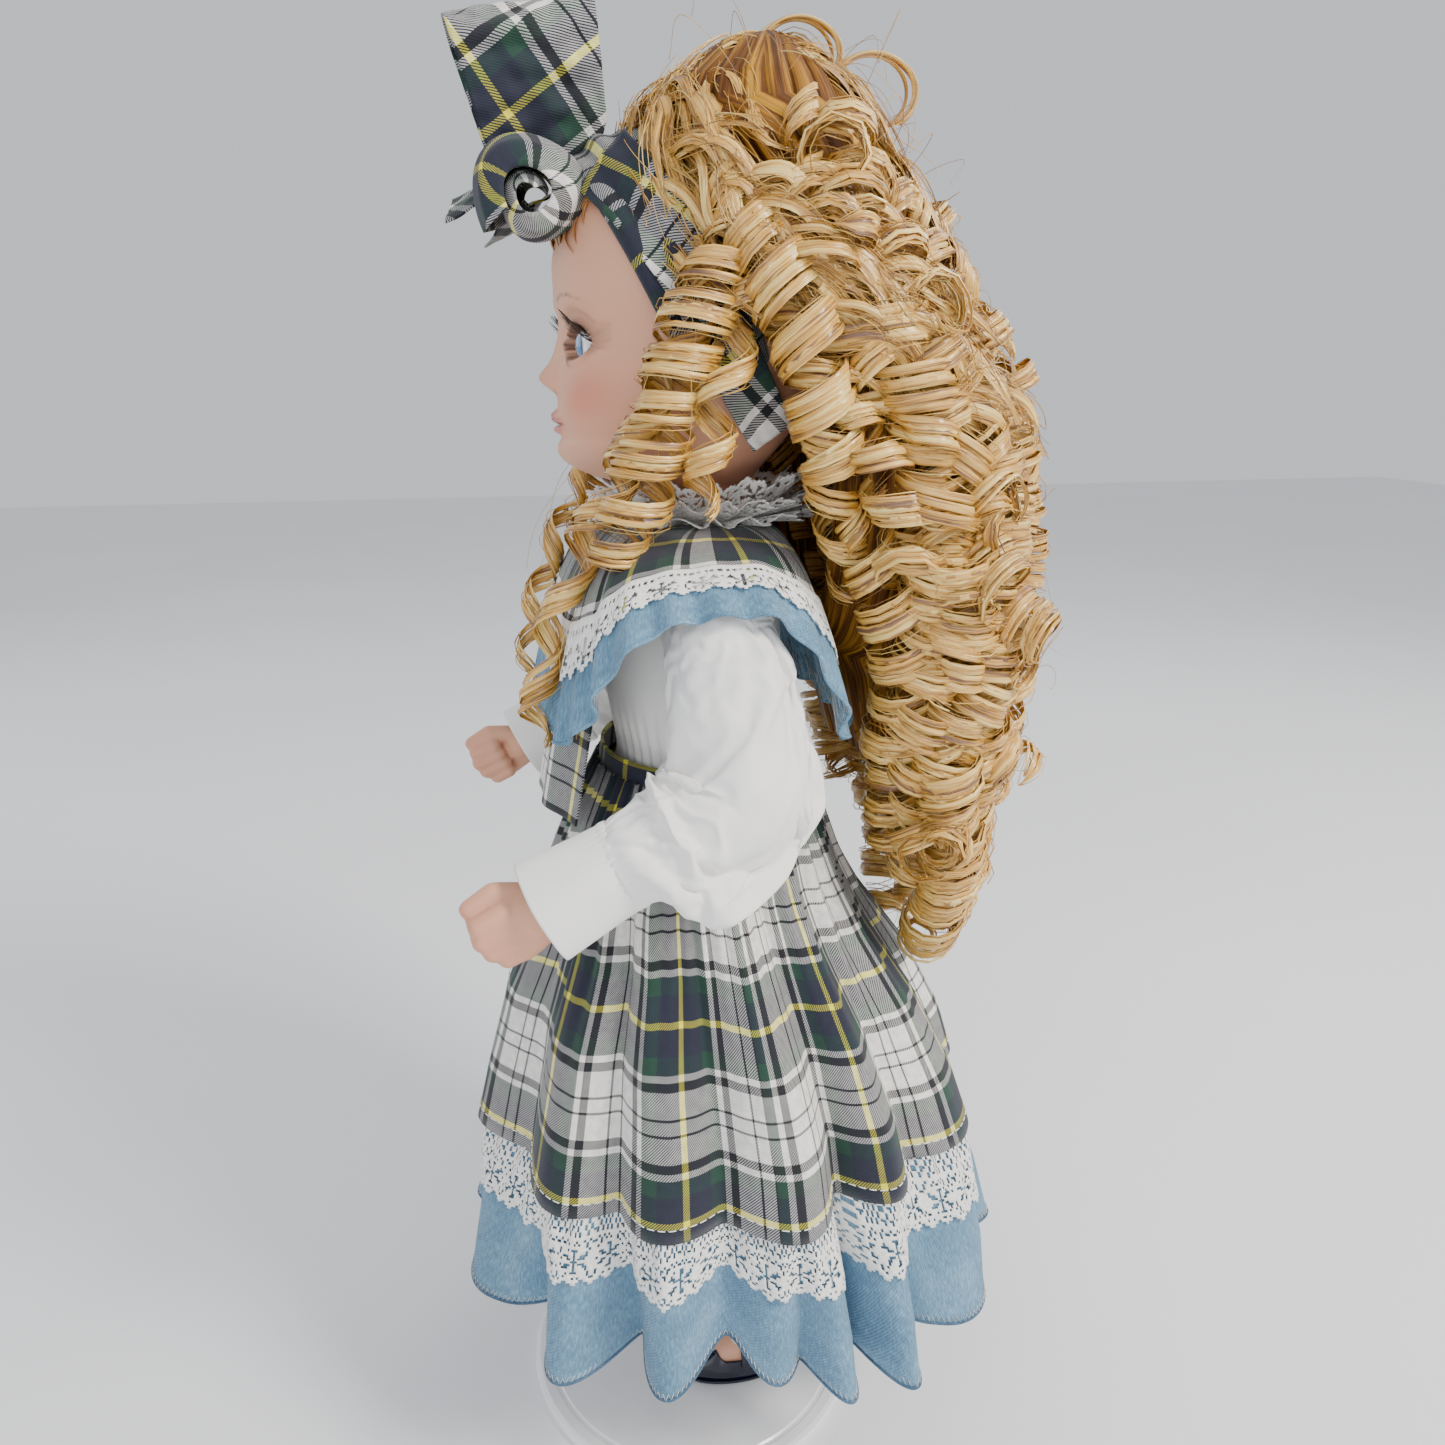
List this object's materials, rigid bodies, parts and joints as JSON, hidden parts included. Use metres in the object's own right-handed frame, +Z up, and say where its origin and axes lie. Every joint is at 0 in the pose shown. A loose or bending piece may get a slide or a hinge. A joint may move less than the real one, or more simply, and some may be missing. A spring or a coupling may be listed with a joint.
{
  "type": "porcelain doll",
  "caption": "Porcelain girl doll with long ringlets, tartan bow and dress with lace and denim ruffles, held by a waist clip on a round display stand.",
  "frame": {"origin": "centre of the underside of the stand's round base", "axes": "+Z up, the doll faces -Y, and its left hand is on the +X side"},
  "size_m": [0.192, 0.206, 0.4499],
  "materials": {
    "stand_white": "gloss",
    "screw_metal": "satin",
    "clip_vinyl": "satin",
    "bisque": "matt unglazed porcelain",
    "eye_glass": "gloss",
    "body_cotton": "plain cotton",
    "blouse_cotton": "plain cotton",
    "lace_cotton": "cotton lace",
    "tartan": "woven twill",
    "denim": "washed denim",
    "hair_fibre": "glossy synthetic fibre",
    "wig_net": "net",
    "pate_card": "card",
    "plug_wood": "plain",
    "washer_felt": "felt",
    "shoe_vinyl": "smooth",
    "loop_thread": "cord",
    "petticoat_cotton": "plain cotton"
  },
  "bodies": {
    "stand": {"stand_base": "stand_white", "stand_tube": "stand_white", "tube_collar": "stand_white", "set_screw": "screw_metal"},
    "figure": {"stand_rod": "stand_white", "waist_clip": "screw_metal", "clip_tips": "clip_vinyl", "body_cloth": "body_cotton", "shoulder_plate": "bisque", "neck_washer": "washer_felt", "blouse_bodice": "blouse_cotton", "neck_ruffle": "lace_cotton", "collar_tartan": "tartan", "collar_lace": "lace_cotton", "collar_denim": "denim", "bib_front": "tartan", "waistband": "tartan", "waist_loop": "loop_thread", "skirt": "tartan", "skirt_lace": "lace_cotton", "denim_ruffle": "denim", "petticoat": "petticoat_cotton", "hair_back": "hair_fibre", "hair_front_left": "hair_fibre", "hair_front_right": "hair_fibre"},
    "head": {"head_shell": "bisque", "left_eye": "eye_glass", "right_eye": "eye_glass", "crown_pate": "pate_card", "wig_cap": "wig_net", "hair_crown": "hair_fibre", "hair_bangs": "hair_fibre", "side_curls": "hair_fibre", "headband": "tartan", "bow_upright_loop": "tartan", "bow_rolled_loop": "tartan", "bow_knot": "tartan", "bow_tails": "tartan", "neck_plug": "plug_wood", "neck_bolt": "screw_metal"},
    "left_upper_arm": {"left_upper_arm": "body_cotton", "left_upper_sleeve": "blouse_cotton"},
    "left_forearm": {"left_forearm": "bisque", "left_lower_sleeve": "blouse_cotton", "left_cuff": "blouse_cotton"},
    "left_leg": {"left_thigh": "body_cotton", "left_lower_leg": "bisque", "left_sock": "blouse_cotton", "left_shoe": "shoe_vinyl", "left_shoe_strap": "shoe_vinyl"},
    "right_upper_arm": {"right_upper_arm": "body_cotton", "right_upper_sleeve": "blouse_cotton"},
    "right_forearm": {"right_forearm": "bisque", "right_lower_sleeve": "blouse_cotton", "right_cuff": "blouse_cotton"},
    "right_leg": {"right_thigh": "body_cotton", "right_lower_leg": "bisque", "right_sock": "blouse_cotton", "right_shoe": "shoe_vinyl", "right_shoe_strap": "shoe_vinyl"}
  },
  "joints": [
    {"name": "stand_height", "type": "slide", "parent": "stand", "child": "figure", "axis": [0, 0, 1], "range_m": [0, 0.025]},
    {"name": "head_turn", "type": "hinge", "parent": "figure", "child": "head", "pos_m": [0, 0.005, 0.315], "axis": [0, 0, 1], "range_deg": [-30, 30]},
    {"name": "left_shoulder", "type": "hinge", "parent": "figure", "child": "left_upper_arm", "pos_m": [0.048, 0.001, 0.287], "axis": [1, 0, 0], "range_deg": [-25, 10]},
    {"name": "left_elbow", "type": "hinge", "parent": "left_upper_arm", "child": "left_forearm", "pos_m": [0.068, 0.002, 0.252], "axis": [1, 0, 0], "range_deg": [-20, 20]},
    {"name": "left_hip", "type": "hinge", "parent": "figure", "child": "left_leg", "pos_m": [0.019, 0.019, 0.198], "axis": [1, 0, 0], "range_deg": [-20, 0]},
    {"name": "right_shoulder", "type": "hinge", "parent": "figure", "child": "right_upper_arm", "pos_m": [-0.048, 0.001, 0.287], "axis": [1, 0, 0], "range_deg": [-25, 10]},
    {"name": "right_elbow", "type": "hinge", "parent": "right_upper_arm", "child": "right_forearm", "pos_m": [-0.068, 0.002, 0.252], "axis": [1, 0, 0], "range_deg": [-20, 20]},
    {"name": "right_hip", "type": "hinge", "parent": "figure", "child": "right_leg", "pos_m": [-0.019, 0.019, 0.198], "axis": [1, 0, 0], "range_deg": [-20, 0]}
  ]
}
